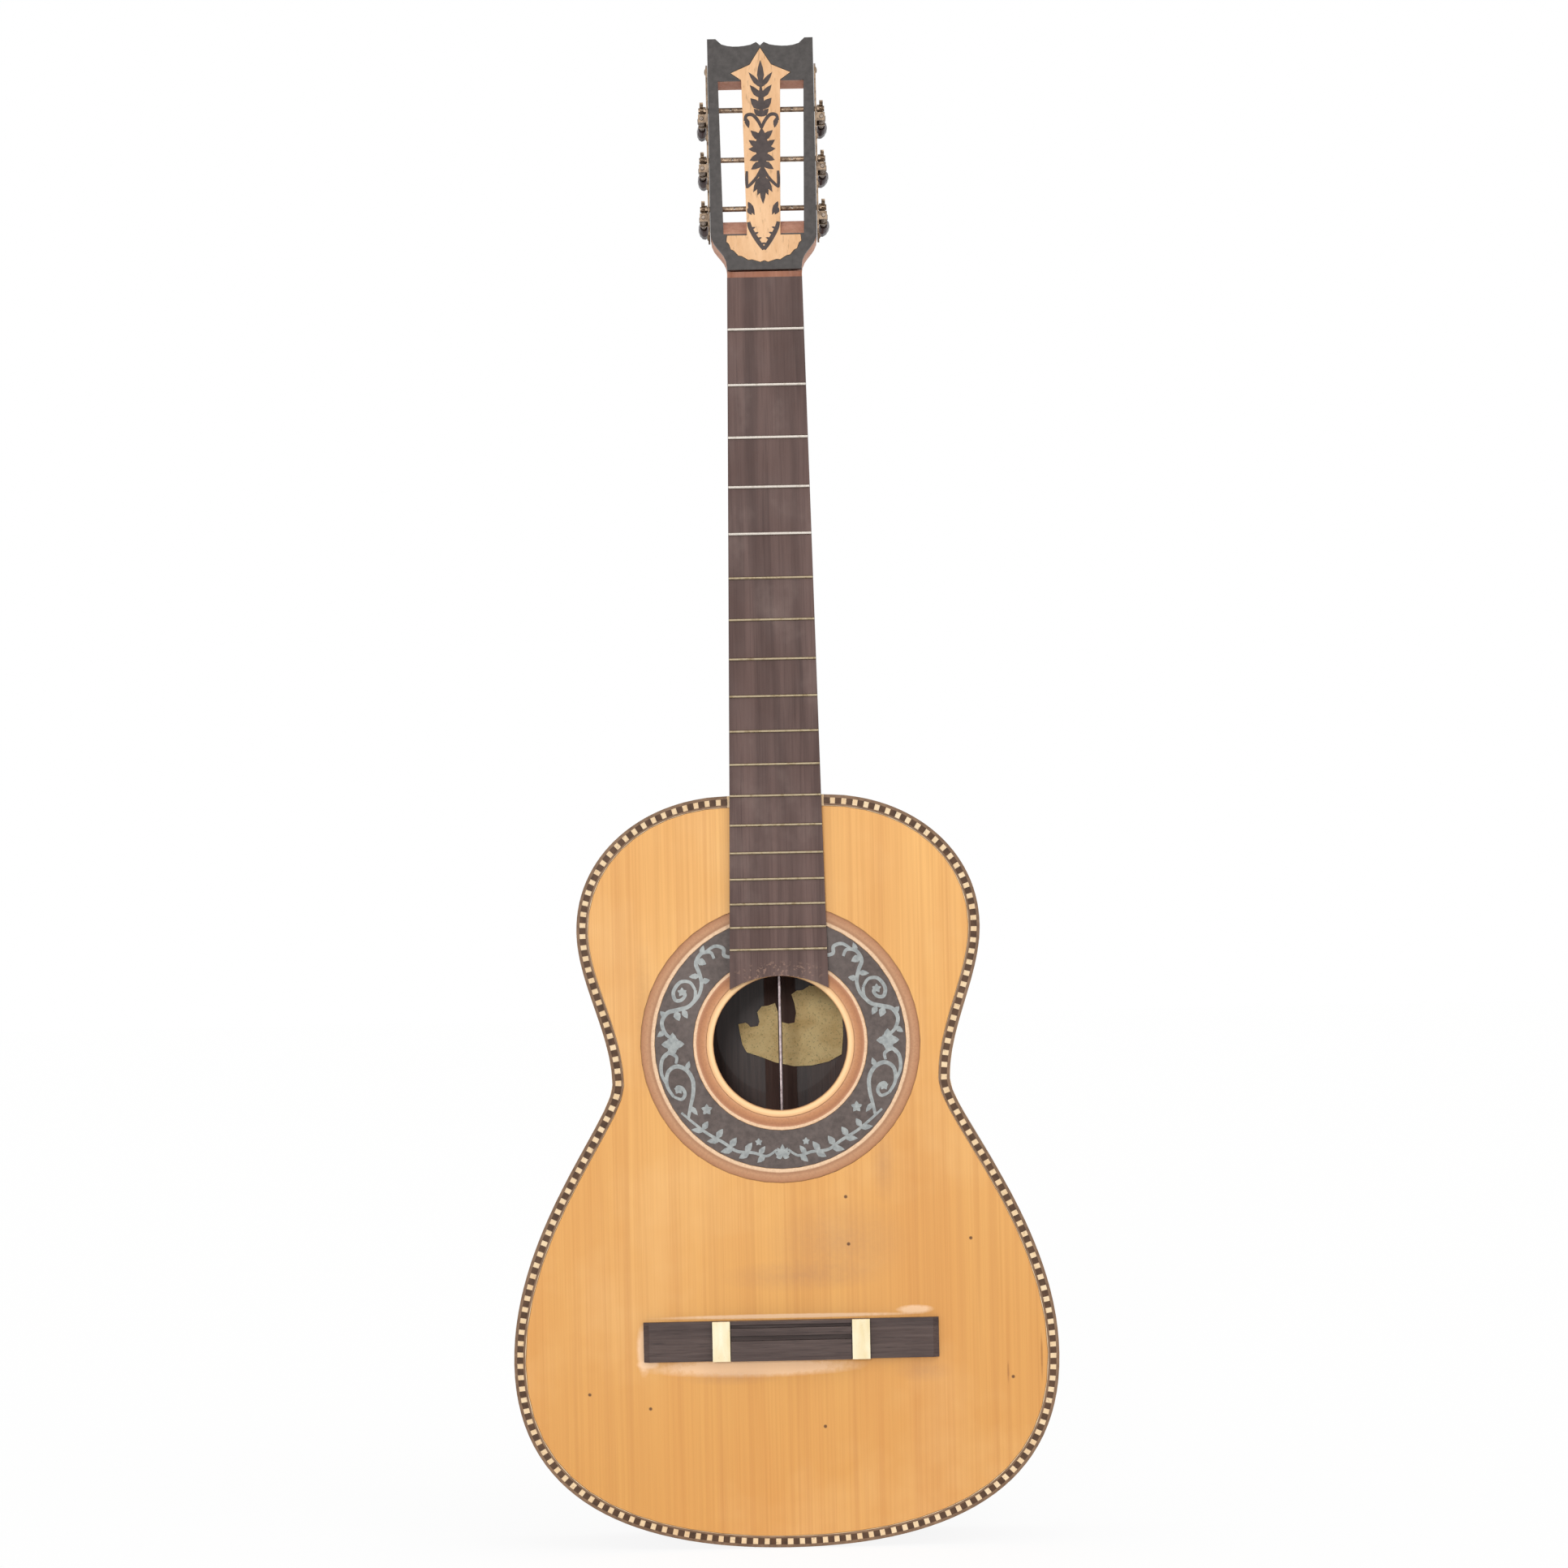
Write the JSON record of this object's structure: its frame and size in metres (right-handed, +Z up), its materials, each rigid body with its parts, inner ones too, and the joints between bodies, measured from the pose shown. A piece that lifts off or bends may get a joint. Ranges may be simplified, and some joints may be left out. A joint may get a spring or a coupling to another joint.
{
  "type": "classical guitar",
  "caption": "Old parlour guitar with a slotted head, worm-and-gear tuners, inlaid edge and rosette, tie bridge and steel rod inside; unstrung, no nut or saddle.",
  "frame": {"origin": "middle of the width and of the depth, at the height of the tail of the body", "axes": "+X towards the treble side, +Y from the soundboard to the back, +Z up along the strings towards the head"},
  "size_m": [0.338, 0.1008, 0.939],
  "materials": {
    "spruce": "worn shellac over old spruce",
    "rosewood": "satin",
    "cedar": "satin",
    "ebony": "worn, matte",
    "pale_wood": "satin",
    "rosette": "satin",
    "band_wood": "satin",
    "checker": "satin",
    "bone": "satin bone",
    "horn": "polished dark horn",
    "brass": "tarnished",
    "nickel": "worn",
    "steel": "dull",
    "paper": "aged, matte"
  },
  "bodies": {
    "guitar": {"soundboard": "spruce", "purfling": "checker", "rosette_inner_band": "band_wood", "rosette_main_band": "rosette", "rosette_outer_band": "band_wood", "back": "rosewood", "back_strip": "cedar", "rib_bass": "rosewood", "rib_treble": "rosewood", "harmonic_bar_lower": "spruce", "harmonic_bar_upper": "spruce", "tail_block": "cedar", "tension_rod": "steel", "label": "paper", "bridge": "ebony", "bridge_bone_bass": "bone", "bridge_bone_treble": "bone", "neck": "cedar", "fingerboard": "ebony", "fret_01": "nickel", "fret_02": "nickel", "fret_03": "nickel", "fret_04": "nickel", "fret_05": "nickel", "fret_06": "brass", "fret_07": "brass", "fret_08": "brass", "fret_09": "brass", "fret_10": "brass", "fret_11": "brass", "fret_12": "brass", "fret_13": "brass", "fret_14": "brass", "fret_15": "brass", "fret_16": "brass", "fret_17": "brass", "fret_18": "brass", "headstock": "cedar", "head_veneer": "ebony", "head_inlay": "pale_wood", "tuner_plate_bass": "brass", "tuner_plate_treble": "brass"},
    "shaft_1": {"worm_1": "steel", "button_1": "horn"},
    "shaft_2": {"worm_2": "steel", "button_2": "horn"},
    "shaft_3": {"worm_3": "steel", "button_3": "horn"},
    "shaft_4": {"worm_4": "steel", "button_4": "horn"},
    "shaft_5": {"worm_5": "steel", "button_5": "horn"},
    "shaft_6": {"worm_6": "steel", "button_6": "horn"},
    "string_roller_1": {"roller_1": "brass"},
    "string_roller_2": {"roller_2": "brass"},
    "string_roller_3": {"roller_3": "brass"},
    "string_roller_4": {"roller_4": "brass"},
    "string_roller_5": {"roller_5": "brass"},
    "string_roller_6": {"roller_6": "brass"}
  },
  "joints": [
    {"name": "tune_1", "type": "hinge", "parent": "guitar", "child": "shaft_1", "pos_m": [0.0374, -0.02679, 0.82461], "axis": [0, 0.9781, -0.2079], "continuous": true},
    {"name": "tune_2", "type": "hinge", "parent": "guitar", "child": "shaft_2", "pos_m": [0.0374, -0.02016, 0.85581], "axis": [0, 0.9781, -0.2079], "continuous": true},
    {"name": "tune_3", "type": "hinge", "parent": "guitar", "child": "shaft_3", "pos_m": [0.0374, -0.0134, 0.8876], "axis": [0, 0.9781, -0.2079], "continuous": true},
    {"name": "tune_4", "type": "hinge", "parent": "guitar", "child": "shaft_4", "pos_m": [-0.0374, -0.0134, 0.8876], "axis": [0, 0.9781, -0.2079], "continuous": true},
    {"name": "tune_5", "type": "hinge", "parent": "guitar", "child": "shaft_5", "pos_m": [-0.0374, -0.02016, 0.85581], "axis": [0, 0.9781, -0.2079], "continuous": true},
    {"name": "tune_6", "type": "hinge", "parent": "guitar", "child": "shaft_6", "pos_m": [-0.0374, -0.02679, 0.82461], "axis": [0, 0.9781, -0.2079], "continuous": true},
    {"name": "wind_1", "type": "hinge", "parent": "guitar", "child": "string_roller_1", "pos_m": [0.0374, -0.02539, 0.83121], "axis": [1, 0, 0], "continuous": true},
    {"name": "wind_2", "type": "hinge", "parent": "guitar", "child": "string_roller_2", "pos_m": [0.0374, -0.01875, 0.86241], "axis": [1, 0, 0], "continuous": true},
    {"name": "wind_3", "type": "hinge", "parent": "guitar", "child": "string_roller_3", "pos_m": [0.0374, -0.012, 0.8942], "axis": [1, 0, 0], "continuous": true},
    {"name": "wind_4", "type": "hinge", "parent": "guitar", "child": "string_roller_4", "pos_m": [-0.0374, -0.012, 0.8942], "axis": [1, 0, 0], "continuous": true},
    {"name": "wind_5", "type": "hinge", "parent": "guitar", "child": "string_roller_5", "pos_m": [-0.0374, -0.01875, 0.86241], "axis": [1, 0, 0], "continuous": true},
    {"name": "wind_6", "type": "hinge", "parent": "guitar", "child": "string_roller_6", "pos_m": [-0.0374, -0.02539, 0.83121], "axis": [1, 0, 0], "continuous": true}
  ],
  "couplings": [
    {"joint": "wind_1", "follows": "tune_1", "ratio": -0.071429},
    {"joint": "wind_2", "follows": "tune_2", "ratio": -0.071429},
    {"joint": "wind_3", "follows": "tune_3", "ratio": -0.071429},
    {"joint": "wind_4", "follows": "tune_4", "ratio": -0.071429},
    {"joint": "wind_5", "follows": "tune_5", "ratio": -0.071429},
    {"joint": "wind_6", "follows": "tune_6", "ratio": -0.071429}
  ]
}
